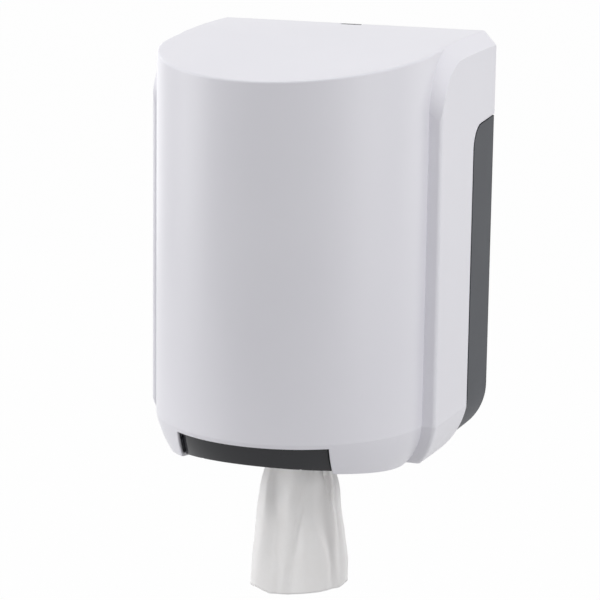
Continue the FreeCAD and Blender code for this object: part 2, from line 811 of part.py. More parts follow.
def roll_shelf():
    thick = mm("shelf_thickness")
    low = shelf_low.value
    half_plan = [Vector(shelf_half, -shelf_back, low), Vector(shelf_half, roll_y, low)]
    left = [Vector(-p.x, p.y, low) for p in reversed(half_plan)]
    front = arc(half_plan[1], Vector(0, roll_y - shelf_half, low), left[0])
    plan = face([
        Part.LineSegment(half_plan[0], half_plan[1]).toShape(), front,
        Part.LineSegment(left[0], left[1]).toShape(), Part.LineSegment(left[1], half_plan[0]).toShape(),
    ])
    plate = plan.extrude(Vector(0, 0, thick))
    flange_half = mm("shelf_screw_spread") / 2 + mm("shelf_boss_diameter")
    flange = box_between(
        (-flange_half, -shelf_back - thick, low - mm("shelf_flange_height")),
        (flange_half, -shelf_back, low + thick),
    )
    rim_inner = roll_radius.value + mm("rim_gap")
    rim = ring(rim_inner + mm("rim_thickness"), rim_inner, low + thick / 2, low + thick + mm("rim_height"))
    collar = ring(bore_radius + mm("collar_wall"), bore_radius, collar_low.value, low + thick / 2)
    shelf = plate.fuse([flange, rim, collar, gusset(1), gusset(-1)])
    cuts = [rod(bore_radius, (0, roll_y, low - thick), (0, roll_y, low + 2 * thick))]
    cuts += [
        rod(mm("shelf_screw_diameter") / 2, (x, 0, z), (x, -shelf_back - PAST, z))
        for x, z in shelf_screw_places()
    ]
    cuts += [
        rod(mm("window_screw_diameter") / 2, (x, y, low - thick), (x, y, window_screw_tip.value))
        for x, y in window_screw_places()
    ]
    shelf = shelf.cut(cuts)
    lips = [
        sector(bore_radius + mm("collar_wall") / 2, lip_radius, collar_low.value,
               collar_low.value + mm("bayonet_lip_thickness"), start, mm("bayonet_angle"))
        for start in bayonet_starts()
    ]
    return shelf.fuse(lips).removeSplitter()


# Front window

def front_window():
    recess = mm("window_recess")
    wall = mm("window_wall")
    half = mm("outlet_cut_width") / 2 - mm("window_side_gap")
    foot = mm("window_foot_rise")
    low = bottom.value
    high = shelf_low.value
    panel = cover_form(recess, 0.0, foot).cut(cover_form(recess + wall, -PAST, foot + wall))
    front = box_between((-half, -mm("cover_depth"), low), (half, roll_y - drum_radius / 2, high))
    panel = panel.common(front)

    def plan(inset):
        return Part.Face(plan_wire(high - wall, inset, inset, inset, 0.0))

    tab = plan(recess).cut(plan(recess + mm("window_tab_depth"))).extrude(Vector(0, 0, wall))
    panel = panel.fuse(tab.common(front))
    holes = [
        rod(mm("window_screw_diameter") / 2 + mm("hinge_running_gap"), (x, y, low), (x, y, high + wall))
        for x, y in window_screw_places()
    ]
    panel = panel.cut(holes).removeSplitter()
    return max(panel.Solids, key=lambda solid: solid.Volume)


# Pieces bound to the sheet

ALONG_X = Rotation(Vector(0, 1, 0), 90)
AGAINST_X = Rotation(Vector(0, 1, 0), -90)
INTO_WALL = Rotation(Vector(1, 0, 0), -90)
UPRIGHT = Rotation()
roll_centre_y = Size(roll_y, "(%r)" % roll_y)


def bind(item, **sizes):
    for name, size in sizes.items():
        item.setExpression(name, as_size(size).formula)
    return item


def place(item, x, y, z, turn=UPRIGHT):
    item.Placement = Placement(Vector(), turn)
    for axis, size in (("x", x), ("y", y), ("z", z)):
        item.setExpression("Placement.Base." + axis, as_size(size).formula)
    return item


def cylinder(name, radius, length, x, y, z, turn=UPRIGHT):
    item = doc.addObject("Part::Cylinder", name)
    bind(item, Radius=radius, Height=length)
    return place(item, x, y, z, turn)


def block(name, length, width, height, x, y, z):
    item = doc.addObject("Part::Box", name)
    bind(item, Length=length, Width=width, Height=height)
    return place(item, x, y, z)


def cut(name, base, tool):
    item = doc.addObject("Part::Cut", name)
    item.Base = base
    item.Tool = tool
    return item


def fused(name, *pieces):
    item = doc.addObject("Part::MultiFuse", name)
    item.Shapes = list(pieces)
    return item


def gathered(name, pieces):
    """Several separate solids in one node."""
    item = doc.addObject("Part::Compound", name)
    item.Links = pieces
    return item


def moulded(name, shape):
    item = doc.addObject("Part::Feature", name)
    item.Shape = shape
    item.Placement = Placement()
    return item


def sketch_on(body, name, role="XZ_Plane"):
    """Empty sketch on one of the body's own planes."""
    drawing = body.newObject("Sketcher::SketchObject", name)
    plane = [item for item in body.Origin.OriginFeatures if item.Role == role][0]
    drawing.AttachmentSupport = (plane, [""])
    drawing.MapMode = "FlatFace"
    return drawing


def hold(drawing, kind, *where, size):
    row = drawing.addConstraint(Sketcher.Constraint(kind, *where, size.value))
    drawing.setExpression("Constraints[%d]" % row, size.formula)


def draw_polygon(drawing, corners):
    """Closed polygon whose corners are held by the sheet."""
    corners = [(as_size(u), as_size(v)) for u, v in corners]
    points = [Vector(u.value, v.value, 0) for u, v in corners]
    first = drawing.GeometryCount
    for start, end in zip(points, points[1:] + points[:1]):
        drawing.addGeometry(Part.LineSegment(start, end), False)
    for i, (u, v) in enumerate(corners):
        following = first + (i + 1) % len(corners)
        drawing.addConstraint(Sketcher.Constraint("Coincident", first + i, 2, following, 1))
    for i, (u, v) in enumerate(corners):
        hold(drawing, "DistanceX", first + i, 1, size=u)
        hold(drawing, "DistanceY", first + i, 1, size=v)


def draw_circle(drawing, radius, u=0.0, v=0.0):
    radius, u, v = as_size(radius), as_size(u), as_size(v)
    circle = Part.Circle(Vector(u.value, v.value, 0), Vector(0, 0, 1), radius.value)
    index = drawing.addGeometry(circle, False)
    hold(drawing, "Radius", index, size=radius)
    hold(drawing, "DistanceX", index, 3, size=u)
    hold(drawing, "DistanceY", index, 3, size=v)


def revolved(body, name, corners, angle=FULL_TURN):
    """Solid of revolution about the body's Z axis from a profile of radii and heights."""
    drawing = sketch_on(body, name + "_profile")
    draw_polygon(drawing, corners)
    turned = body.newObject("PartDesign::Revolution", name)
    turned.Profile = drawing
    turned.ReferenceAxis = (drawing, ["V_Axis"])
    turned.Midplane = True
    bind(turned, Angle=angle)
    body.Tip = turned
    return turned


def pocket(body, name, drawing, depth):
    """Pocket that is cut upwards from the sketch's plane."""
    hollow = body.newObject("PartDesign::Pocket", name)
    hollow.Profile = drawing
    hollow.Reversed = True
    bind(hollow, Length=depth)
    body.Tip = hollow
    return hollow


def repeated(body, name, feature, drawing, axis, count):
    """The feature repeated a full turn round an axis of its sketch."""
    pattern = body.newObject("PartDesign::PolarPattern", name)
    pattern.Originals = [feature]
    pattern.Axis = (drawing, [axis])
    pattern.Angle = FULL_TURN
    bind(pattern, Occurrences=count)
    body.Tip = pattern
    return pattern


def add_body(name, x, y, z, turn=UPRIGHT):
    return place(doc.addObject("PartDesign::Body", name), x, y, z, turn)


# Hinge pins, their bushes and clips

pin_radius = cell("hinge_pin_diameter") / 2
ear_reach = cell("lug_width") / 2 + cell("lug_side_gap") + cell("ear_width")


def hinge_pin(name, side):
    """Headed pin with a groove for its clip, from the inner ear outwards."""
    head = cell("pin_head_height")
    groove = head + ear_reach * 2 + cell("clip_side_gap")
    groove_end = groove + cell("clip_thickness")
    end = groove_end + cell("pin_tail")
    chamfer = cell("clip_groove_depth")
    body = add_body(name, (hinge_half - ear_reach - head) * side, hinge_y, hinge_z,
                    ALONG_X if side > 0 else AGAINST_X)
    revolved(body, name + "_turned", [
        (0, 0), (cell("pin_head_diameter") / 2, 0), (cell("pin_head_diameter") / 2, head),
        (pin_radius, head), (pin_radius, groove), (pin_radius - chamfer, groove),
        (pin_radius - chamfer, groove_end), (pin_radius, groove_end), (pin_radius, end - chamfer),
        (pin_radius - chamfer, end), (0, end),
    ])
    return body


def hinge_bush(name, side):
    """Sleeve in the cover's lug that runs on the pin."""
    start = hinge_half * side - cell("lug_width") / 2
    inner = pin_radius + cell("hinge_running_gap")
    sleeve = cylinder(name + "_sleeve", inner + cell("bush_wall"), cell("lug_width"),
                      start, hinge_y, hinge_z, ALONG_X)
    bore = cylinder(name + "_bore", inner, cell("lug_width"), start, hinge_y, hinge_z, ALONG_X)
    return cut(name, sleeve, bore)


def hinge_clip(name, side):
    """Open retaining ring in the pin's groove."""
    start = (hinge_half + ear_reach + cell("clip_side_gap")) * side
    thick = cell("clip_thickness")
    turn = ALONG_X if side > 0 else AGAINST_X
    inner = pin_radius - cell("clip_groove_depth")
    disc = cylinder(name + "_disc", cell("clip_diameter") / 2, thick, start, hinge_y, hinge_z, turn)
    bore = cylinder(name + "_bore", inner, thick, start, hinge_y, hinge_z, turn)
    mouth = block(name + "_mouth", thick, inner * 2, cell("clip_diameter"),
                  start if side > 0 else start - thick, hinge_y - inner,
                  hinge_z - cell("clip_diameter"))
    return cut(name, disc, fused(name + "_hollow", bore, mouth))


# Nozzle and its grip ring

tube_radius = cell("collar_bore") / 2 - cell("bayonet_lip") - cell("nozzle_gap")
tube_bore = tube_radius - cell("nozzle_wall")
flange_top = collar_low - cell("nozzle_gap")
flange_low = flange_top - cell("nozzle_flange_thickness")
flange_radius = cell("grip_ring_diameter") / 2 - cell("grip_ring_wall")
lug_low = collar_low + cell("bayonet_lip_thickness") + cell("nozzle_gap")
lug_high = lug_low + cell("nozzle_lug_thickness")
nozzle_low = flange_low - cell("nozzle_cone_height")
mouth_radius = cell("nozzle_mouth_diameter") / 2
QUARTER = Rotation(Vector(0, 0, 1), 90)


def outlet_nozzle(name):
    """Funnel that narrows the strand, held in the shelf's collar by three lugs."""
    body = add_body(name, 0, roll_centre_y, 0, QUARTER)
    revolved(body, "nozzle_funnel", [
        (tube_bore, lug_high), (tube_radius, lug_high), (tube_radius, flange_top),
        (flange_radius, flange_top), (flange_radius, flange_low), (tube_radius, flange_low),
        (mouth_radius + cell("nozzle_wall"), nozzle_low), (mouth_radius, nozzle_low),
        (tube_bore, flange_low),
    ])
    outer = cell("collar_bore") / 2 - cell("nozzle_gap")
    inner = tube_radius - cell("nozzle_wall") / 2
    profile = [(inner, lug_low), (outer, lug_low), (outer, lug_high), (inner, lug_high)]
    lug = revolved(body, "nozzle_lug", profile, cell("nozzle_lug_angle"))
    repeated(body, "nozzle_lugs", lug, lug.Profile[0], "V_Axis", cell("bayonet_count"))
    return body


def grip_ring(name):
    """Knurled ring on the nozzle's flange."""
    low = flange_top - cell("grip_ring_height")
    body = add_body(name, 0, roll_centre_y, low)
    radius = cell("grip_ring_diameter") / 2
    drawing = sketch_on(body, "grip_plan", "XY_Plane")
    draw_circle(drawing, radius)
    draw_circle(drawing, flange_radius)
    band = body.newObject("PartDesign::Pad", "grip_band")
    band.Profile = drawing
    bind(band, Length=cell("grip_ring_height"))
    body.Tip = band
    groove_drawing = sketch_on(body, "grip_groove_plan", "XY_Plane")
    draw_circle(groove_drawing, cell("grip_groove_diameter") / 2, radius)
    groove = pocket(body, "grip_groove", groove_drawing, cell("grip_ring_height"))
    repeated(body, "grip_grooves", groove, groove_drawing, "N_Axis", cell("grip_groove_count"))
    return body


# Lock

def lock_bolt(name):
    """Flat bolt that is pushed in to lock: its hook then stands in front of the catch's bar."""
    thick = cell("bolt_thickness")
    y = -(cell("bolt_back") + thick)
    front = -(cell("bolt_back") + cell("arm_reach"))
    slide = block(name + "_slide", cell("bolt_width"), thick, cell("bolt_length"),
                  -cell("bolt_width") / 2, y, bolt_low)
    foot = block(name + "_foot", cell("bolt_foot_width"), thick, cell("bolt_foot_height"),
                 -cell("bolt_foot_width") / 2, y, bolt_low)
    arm = block(name + "_arm", cell("arm_width"), cell("arm_reach"), cell("arm_height"),
                -cell("arm_width") / 2, front, arm_low)
    hook = block(name + "_hook", cell("arm_width"), cell("hook_thickness"), cell("hook_drop"),
                 -cell("arm_width") / 2, front, hook_low)
    slot_y = y + (thick - cell("key_slot_thickness")) / 2
    slot = block(name + "_slot", cell("key_slot_width"), cell("key_slot_thickness"), cell("key_slot_depth"),
                 -cell("key_slot_width") / 2, slot_y, top - cell("key_slot_depth"))
    return cut(name, fused(name + "_blank", slide, foot, arm, hook), slot)


def cover_catch(name):
    """Steel bar on two posts, set into the cover's top, that the bolt's hook holds."""
    thick = cell("catch_thickness")
    outer = catch_half + thick
    low = catch_top - cell("catch_bar_height")
    high = top - cell("cover_wall") + cell("catch_socket")
    bar = block(name + "_bar", outer * 2, thick, cell("catch_bar_height"), -outer, -catch_front, low)
    posts = [
        block("%s_post_%s" % (name, word), thick, thick, high - low, x, -catch_front, low)
        for word, x in (("left", -outer), ("right", catch_half))
    ]
    return fused(name, bar, *posts)


def lock_plate(name):
    """Plate that closes the bolt's channel, with a pocket for the spring and two screw holes."""
    thick = cell("lock_plate_thickness")
    front = -(channel_front + thick)
    plate = block(name + "_plate", housing_half * 2, thick, cell("housing_height"),
                  -housing_half, front, housing_low)
    pocket_depth = cell("spring_pocket_depth")
    hollow = block(
        name + "_pocket", cell("spring_pocket_width"), pocket_depth, cell("spring_pocket_height"),
        -cell("spring_pocket_width") / 2, -(channel_front + pocket_depth),
        lock_screw_z - cell("spring_pocket_height") / 2,
    )
    holes = [
        cylinder("%s_hole_%s" % (name, word), cell("lock_screw_diameter") / 2, thick,
                 lock_screw_x * side, front, lock_screw_z, INTO_WALL)
        for word, side in (("left", -1), ("right", 1))
    ]
    return cut(name, plate, fused(name + "_cuts", hollow, *holes))


def bolt_spring():
    """Bowed leaf in the plate's pocket that holds the bolt where it is pushed to."""
    leaf = mm("spring_leaf")
    bow = mm("spring_pocket_depth") - leaf
    reach = mm("spring_pocket_height") / 2 - leaf
    back = -channel_front.value - mm("spring_pocket_depth")
    z = lock_screw_z.value
    half = mm("spring_pocket_width") / 2 - leaf

    def bowed(lift):
        return [Vector(-half, back + lift, z - reach), Vector(-half, back + lift + bow, z),
                Vector(-half, back + lift, z + reach)]

    inner, outer = bowed(0.0), bowed(leaf)
    edges = [arc(*inner), Part.LineSegment(inner[2], outer[2]).toShape(),
             arc(*reversed(outer)), Part.LineSegment(outer[0], inner[0]).toShape()]
    return face(edges).extrude(Vector(2 * half, 0, 0))


def slotted_screw(name, radius, length, head_radius, head_height, x, y, z, turn):
    """Screw whose shank starts at the given place, with its head behind that and a slot in the head."""
    back = turn.multVec(Vector(0, 0, -1))
    head_x, head_y, head_z = [
        as_size(start) + head_height * part for start, part in zip((x, y, z), back)
    ]
    shank = cylinder(name + "_shank", radius, length, x, y, z, turn)
    head = cylinder(name + "_head", head_radius, head_height, head_x, head_y, head_z, turn)
    wide = cell("screw_slot_width")
    slot = doc.addObject("Part::Box", name + "_slot")
    bind(slot, Length=head_radius * 2, Width=wide, Height=cell("screw_slot_depth"))
    across = turn.multVec(Vector(0, 1, 0))
    corner = [
        place_of - head_radius * (1.0 if axis == 0 else 0.0) - wide / 2 * part
        for axis, (place_of, part) in enumerate(zip((head_x, head_y, head_z), across))
    ]
    place(slot, corner[0], corner[1], corner[2], turn)
    return cut(name, fused(name + "_blank", shank, head), slot)


def lock_screws(name):
    y = -(channel_front + cell("lock_plate_thickness"))
    return gathered(name, [
        slotted_screw(
            "%s_%s" % (name, word), cell("lock_screw_diameter") / 2, cell("lock_screw_length"),
            cell("lock_screw_head_diameter") / 2, cell("lock_screw_head_height"),
            lock_screw_x * side, y, lock_screw_z, INTO_WALL,
        )
        for word, side in (("left", -1), ("right", 1))
    ])


# Screws of the shelf and the window

def shelf_screws(name):
    y = -(cell("base_plate") + cell("shelf_boss_height") + cell("shelf_thickness"))
    return gathered(name, [
        slotted_screw(
            "%s_%d" % (name, number), cell("shelf_screw_diameter") / 2, cell("shelf_screw_length"),
            cell("shelf_screw_head_diameter") / 2, cell("shelf_screw_head_height"),
            shelf_screw_half * share, y, shelf_screw_z, INTO_WALL,
        )
        for number, share in enumerate(SCREW_ROW, start=1)
    ])


def window_screws(name):
    return gathered(name, [
        slotted_screw(
            "%s_%d" % (name, number), cell("window_screw_diameter") / 2, cell("window_screw_length"),
            cell("window_screw_head_diameter") / 2, cell("window_screw_head_height"),
            x, y, window_tab_low, UPRIGHT,
        )
        for number, (x, y) in enumerate(window_screw_places(), start=1)
    ])


# Paper

def paper_roll(name):
    """Roll that stands on the shelf, with the hollow that is left once its core is out."""
    body = add_body(name, 0, roll_centre_y, shelf_top)
    inner = cell("roll_core_diameter") / 2
    high = cell("roll_width")
    wound = revolved(body, "roll_wound", [(inner, 0), (roll_radius, 0), (roll_radius, high), (inner, high)])
    doc.recompute()
    edges = [
        "Edge%d" % number for number, edge in enumerate(wound.Shape.Edges, start=1)
        if edge.Curve.TypeId == "Part::GeomCircle" and abs(edge.Curve.Radius - roll_radius.value) < TOUCH
    ]
    rim = body.newObject("PartDesign::Fillet", "roll_rim")
    rim.Base = (wound, edges)
    bind(rim, Radius=cell("roll_edge_radius"))
    body.Tip = rim
    return body


def oval(centre_x, centre_y, z, width, depth):
    """Closed oval of two arcs and two short ends."""
    half = width / 2
    end = depth / 4
    right = [Vector(centre_x + half, centre_y + side * end, z) for side in (-1, 1)]
    left = [Vector(centre_x - half, centre_y + side * end, z) for side in (1, -1)]
    return Part.Wire([
        Part.LineSegment(right[0], right[1]).toShape(),
        arc(right[1], Vector(centre_x, centre_y + depth / 2, z), left[0]),
        Part.LineSegment(left[0], left[1]).toShape(),
        arc(left[1], Vector(centre_x, centre_y - depth / 2, z), right[0]),
    ])


def paper_strand():
    """Crumpled strand that rises from the nozzle's mouth into the roll's hollow."""
    low = nozzle_low.value
    high = shelf_top.value + mm("strand_rise")
    heights = (low, (low + flange_low.value) / 2, flange_low.value, high)
    return Part.makeLoft([
        oval(mm("strand_width") * aside, roll_y, z, mm("strand_width") * wide, mm("strand_thickness") * deep)
        for z, (wide, deep, aside) in zip(heights, STRAND_SECTIONS)
    ], True, False)


def tail_section(z, centre, width, depth, skew):
    """Folded outline of the paper: its front folds, and the same folds set back by the ply."""
    ply = mm("tail_ply")

    def at(share, fold, back):
        y = roll_y + (fold - 0.5) * depth + (ply if back else -ply) / 2
        return Vector(centre + (share - 0.5) * width, y, z)

    folds = [(share + skew * lean, fold) for share, fold, lean in TAIL_FOLDS]
    front = [at(share, fold, False) for share, fold in folds]
    back = [at(share, fold, True) for share, fold in reversed(folds)]
    edges = [arc(*front[i:i + 3]) for i in range(0, len(front) - 2, 2)]
    edges.append(Part.LineSegment(front[-1], back[0]).toShape())
    edges += [arc(*back[i:i + 3]) for i in range(0, len(back) - 2, 2)]
    edges.append(Part.LineSegment(back[-1], front[0]).toShape())
    return Part.Wire(edges)


def paper_tail():
    """Hanging end of the strand, a sheet that opens from the mouth with its main folds."""
    high = nozzle_low.value
    length = mm("tail_length")
    waist = mm("tail_waist_width")
    hem = mm("tail_hem_width")
    deep = mm("tail_depth")
    wires = [tail_section(high, 0.0, mm("strand_width"), mm("strand_thickness") / 2, 1.0)]
    for down, aside, wide, depth, lean in TAIL_SECTIONS:
        width = waist + (hem - waist) * wide
        shift = mm("tail_shift") * aside
        wires.append(tail_section(high - down * length, shift, width, deep * depth, lean))
    return Part.makeLoft(wires, True, False)


# The whole object

doc.recompute()

NODES = {
    "front_cover": moulded("front_cover", front_cover()),
    "hinge_bush_left": hinge_bush("hinge_bush_left", -1),
    "hinge_bush_right": hinge_bush("hinge_bush_right", 1),
    "back_base": moulded("back_base", back_base()),
    "roll_shelf": moulded("roll_shelf", roll_shelf()),
    "front_window": moulded("front_window", front_window()),
    "hinge_pin_left": hinge_pin("hinge_pin_left", -1),
    "hinge_pin_right": hinge_pin("hinge_pin_right", 1),
    "hinge_clips": gathered("hinge_clips", [
        hinge_clip("hinge_clip_left", -1), hinge_clip("hinge_clip_right", 1),
    ]),
    "shelf_screws": shelf_screws("shelf_screws"),
    "window_screws": window_screws("window_screws"),
    "outlet_nozzle": outlet_nozzle("outlet_nozzle"),
    "grip_ring": grip_ring("grip_ring"),
    "cover_catch": cover_catch("cover_catch"),
    "lock_bolt": lock_bolt("lock_bolt"),
    "lock_plate": lock_plate("lock_plate"),
    "lock_screws": lock_screws("lock_screws"),
    "bolt_spring": moulded("bolt_spring", bolt_spring()),
    "paper_roll": paper_roll("paper_roll"),
    "paper_strand": moulded("paper_strand", paper_strand()),
    "paper_tail": moulded("paper_tail", paper_tail()),
}
for node, item in NODES.items():
    item.Label = node
doc.recompute()

# Checks and files

for item in doc.Objects:
    faults = [state for state in item.State if state in ("Invalid", "Error")]
    if faults:
        raise ValueError("%s: %s" % (item.Name, ", ".join(faults)))
for node, item in NODES.items():
    if item.Shape.isNull() or not item.Shape.isValid() or not item.Shape.Solids:
        raise ValueError("%s has no valid solid" % node)

os.makedirs("parts", exist_ok=True)
for node, item in NODES.items():
    item.Shape.exportStep("parts/%s.step" % node)
    size = item.Shape.BoundBox
    print("%-18s %2d solids %9.1f mm3  X %7.1f %7.1f  Y %7.1f %7.1f  Z %7.1f %7.1f" % (
        node, len(item.Shape.Solids), item.Shape.Volume,
        size.XMin, size.XMax, size.YMin, size.YMax, size.ZMin, size.ZMax,
    ))
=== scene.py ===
import math

import bpy
import numpy as np
from mathutils import Matrix, Vector, noise


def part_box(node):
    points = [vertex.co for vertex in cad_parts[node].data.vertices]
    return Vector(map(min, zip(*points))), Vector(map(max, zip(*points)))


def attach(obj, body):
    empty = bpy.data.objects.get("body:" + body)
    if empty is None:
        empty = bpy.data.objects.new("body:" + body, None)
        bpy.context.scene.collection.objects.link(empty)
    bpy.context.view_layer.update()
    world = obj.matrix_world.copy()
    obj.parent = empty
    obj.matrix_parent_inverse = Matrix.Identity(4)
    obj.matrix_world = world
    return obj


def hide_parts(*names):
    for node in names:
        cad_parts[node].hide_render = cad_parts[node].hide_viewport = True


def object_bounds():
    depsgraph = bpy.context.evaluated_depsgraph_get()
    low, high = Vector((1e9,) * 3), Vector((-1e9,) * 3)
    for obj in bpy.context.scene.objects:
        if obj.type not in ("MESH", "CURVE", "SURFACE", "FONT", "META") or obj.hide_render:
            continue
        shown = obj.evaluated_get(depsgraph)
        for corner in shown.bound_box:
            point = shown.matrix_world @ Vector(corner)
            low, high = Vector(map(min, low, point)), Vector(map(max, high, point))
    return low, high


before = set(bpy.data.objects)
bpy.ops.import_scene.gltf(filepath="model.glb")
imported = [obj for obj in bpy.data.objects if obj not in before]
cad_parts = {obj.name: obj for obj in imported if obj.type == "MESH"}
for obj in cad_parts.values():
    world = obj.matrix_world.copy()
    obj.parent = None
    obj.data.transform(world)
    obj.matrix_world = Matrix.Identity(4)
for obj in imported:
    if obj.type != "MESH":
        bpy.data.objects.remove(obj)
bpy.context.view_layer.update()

MM = 0.001

# Camera at the photograph's angle

LENS_PIXELS = 2519.0        # focal length in pixels of a 600 pixel wide picture
PICTURE_PIXELS = 600.0
SENSOR_WIDTH = 36.0
CAMERA_AZIMUTH = 21.0       # degrees to the object's right
CAMERA_PITCH = 12.03        # degrees downwards
CAMERA_ROLL = 0.77          # degrees
CAMERA_ASIDE = -44.3 * MM   # how far the line of sight passes beside the top of the back
CAMERA_BELOW = -230.6 * MM  # how far it passes below it
CAMERA_DISTANCE = 2102.0 * MM
CAMERA_RANGE = 60.0         # metres that the camera sees


def add_camera():
    azimuth, pitch, roll = [math.radians(a) for a in (CAMERA_AZIMUTH, CAMERA_PITCH, CAMERA_ROLL)]
    ahead = Vector((-math.sin(azimuth) * math.cos(pitch), math.cos(azimuth) * math.cos(pitch),
                    -math.sin(pitch)))
    level = Vector((math.cos(azimuth), math.sin(azimuth), 0.0))
    upright = level.cross(ahead)
    right = level * math.cos(roll) + upright * math.sin(roll)
    up = upright * math.cos(roll) - level * math.sin(roll)
    top_of_back = Vector((0.0, 0.0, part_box("front_cover")[1].z))
    place = top_of_back + right * CAMERA_ASIDE + up * CAMERA_BELOW - ahead * CAMERA_DISTANCE
    lens = bpy.data.cameras.new("camera")
    lens.sensor_width = SENSOR_WIDTH
    lens.lens = LENS_PIXELS * SENSOR_WIDTH / PICTURE_PIXELS
    lens.clip_end = CAMERA_RANGE
    camera = bpy.data.objects.new("camera", lens)
    turn = Matrix((right, up, -ahead)).transposed().to_4x4()
    camera.matrix_world = Matrix.Translation(place) @ turn
    bpy.context.scene.collection.objects.link(camera)
    bpy.context.scene.camera = camera


# Materials

# Colours, each as its darker and its lighter place
COVER_WHITE = ((0.775, 0.768, 0.822), (0.80, 0.793, 0.845))
BASE_GREY = ((0.048, 0.052, 0.062), (0.056, 0.061, 0.071))
NOZZLE_GREY = ((0.165, 0.175, 0.19), (0.19, 0.20, 0.215))
SMOKE = ((0.012, 0.013, 0.017), (0.020, 0.021, 0.026))
NYLON_WHITE = ((0.70, 0.68, 0.62), (0.78, 0.76, 0.71))
RUBBER_BLACK = ((0.030, 0.031, 0.034), (0.055, 0.056, 0.060))
ZINC_GREY = ((0.52, 0.53, 0.55), (0.64, 0.64, 0.63))
ROLL_WHITE = ((0.86, 0.845, 0.842), (0.91, 0.898, 0.9))
# painted light: the hanging strip is a lighter copy of the roll's tissue, for the light its thin paper lets
# through
STRIP_LIT_WHITE = ((0.955, 0.94, 0.935), (0.975, 0.965, 0.965))
FLOOR_GREY = ((0.50, 0.50, 0.50), (0.52, 0.52, 0.52))
WALL_SHADE_GREY = (0.016, 0.017, 0.022)      # painted shade along the base's back edge, where it meets the wall
WALL_SHADE_SPAN = (-0.0019, -0.0015)              # where that painted shade begins and is full, metres from the wall
SIDEWAYS = (0.5, 0.8)                       # how far a face looks at the wall before it has no painted shade
CLOUD_RANGE = (0.3, 0.7)                    # what broad noise mostly spans


class Finish:
    """One material and its node tree, with short ways to add nodes."""

    def __init__(self, name):
        self.material = bpy.data.materials.new(name)
        self.material.use_nodes = True
        self.tree = self.material.node_tree
        self.shader = self.tree.nodes["Principled BSDF"]
        self.place = self.node("ShaderNodeTexCoord").outputs["Object"]

    def node(self, kind, **sockets):
        made = self.tree.nodes.new(kind)
        for name, value in sockets.items():
            self.feed(made.inputs[name.replace("_", " ")], value)
        return made

    def feed(self, socket, value):
        if isinstance(value, bpy.types.NodeSocket):
            self.tree.links.new(value, socket)
        else:
            socket.default_value = value

    def set(self, **sockets):
        for name, value in sockets.items():
            self.feed(self.shader.inputs[name.replace("_", " ")], value)

    def stretched(self, x=1.0, y=1.0, z=1.0):
        """The place with each axis scaled, for a texture that runs one way."""
        return self.node("ShaderNodeMapping", Vector=self.place, Scale=(x, y, z)).outputs["Vector"]

    def noise(self, scale, detail=2.0, rough=0.5, where=None, distortion=0.0):
        made = self.node("ShaderNodeTexNoise", Vector=where or self.place, Scale=scale, Detail=detail,
                         Roughness=rough, Distortion=distortion)
        return made.outputs["Fac"]

    def cells(self, scale, feature="F1"):
        made = self.node("ShaderNodeTexVoronoi", Vector=self.place, Scale=scale)
        made.feature = feature
        return made.outputs["Distance"]

    def span(self, value, low, high, source=(0.0, 1.0)):
        made = self.node("ShaderNodeMapRange", Value=value)
        made.inputs["From Min"].default_value, made.inputs["From Max"].default_value = source
        made.inputs["To Min"].default_value, made.inputs["To Max"].default_value = low, high
        return made.outputs["Result"]

    def clouds(self, scale, detail, rough=0.5):
        """Broad noise that runs from 0 to 1."""
        return self.span(self.noise(scale, detail, rough), 0.0, 1.0, CLOUD_RANGE)

    def sums(self, operation, a, b):
        made = self.tree.nodes.new("ShaderNodeMath")
        made.operation = operation
        self.feed(made.inputs[0], a)
        self.feed(made.inputs[1], b)
        return made.outputs["Value"]

    def between(self, factor, first, second):
        made = self.tree.nodes.new("ShaderNodeMix")
        made.data_type = "RGBA"
        self.feed(made.inputs["Factor"], factor)
        self.feed(made.inputs[6], (*first, 1.0) if isinstance(first, tuple) else first)
        self.feed(made.inputs[7], (*second, 1.0) if isinstance(second, tuple) else second)
        return made.outputs[2]

    def bump(self, height, depth, strength=1.0, over=None):
        made = self.node("ShaderNodeBump", Height=height, Distance=depth, Strength=strength)
        if over is not None:
            self.feed(made.inputs["Normal"], over)
        return made.outputs["Normal"]

    def axis(self, name):
        return self.node("ShaderNodeSeparateXYZ", Vector=self.place).outputs[name]


def white_moulding():
    """Satin white plastic, faintly cool, with the slight ripple of a large moulding."""
    f = Finish("white_moulding")
    drift = f.clouds(7.0, 3.0)
    grain = f.noise(1500.0, 3.0)
    ripple = f.noise(60.0, 2.0)
    f.set(Base_Color=f.between(drift, *COVER_WHITE), Roughness=f.span(grain, 0.34, 0.44), IOR=1.49,
          Coat_Weight=0.08, Coat_Roughness=0.25,
          Normal=f.bump(grain, 0.00003, 0.5, f.bump(ripple, 0.0003, 0.15)))
    return f.material


def eroded(f):
    """Spark-eroded surface: its fine noise and its normal."""
    grain = f.cells(1400.0)
    fine = f.noise(2600.0, 3.0)
    return fine, f.bump(fine, 0.00003, 0.5, f.bump(grain, 0.00006, 0.5))


def nozzle_moulding():
    """Matt grey plastic with a spark-eroded grain."""
    f = Finish("nozzle_moulding")
    fine, normal = eroded(f)
    f.set(Base_Color=f.between(f.clouds(25.0, 4.0), *NOZZLE_GREY), Roughness=f.span(fine, 0.34, 0.48),
          IOR=1.46, Normal=normal)
    return f.material


def base_moulding():
    """The base's grey, with painted shade along the back edge where the moulding meets the wall."""
    f = Finish("base_moulding")
    fine, normal = eroded(f)
    grey = f.between(f.clouds(25.0, 4.0), *BASE_GREY)
    surface = f.node("ShaderNodeTexCoord").outputs["Normal"]
    facing = f.node("ShaderNodeSeparateXYZ", Vector=surface).outputs["Y"]
    # painted shade: a dark band along the back edge by the wall, left off faces that look at the wall
    near_wall = f.span(f.axis("Y"), 0.0, 1.0, WALL_SHADE_SPAN)
    wall_shade = f.sums("MULTIPLY", near_wall, f.span(facing, 1.0, 0.0, SIDEWAYS))
    f.set(Base_Color=f.between(wall_shade, grey, WALL_SHADE_GREY), Roughness=f.span(fine, 0.46, 0.6), IOR=1.46,
          Specular_IOR_Level=0.3, Normal=normal)
    return f.material


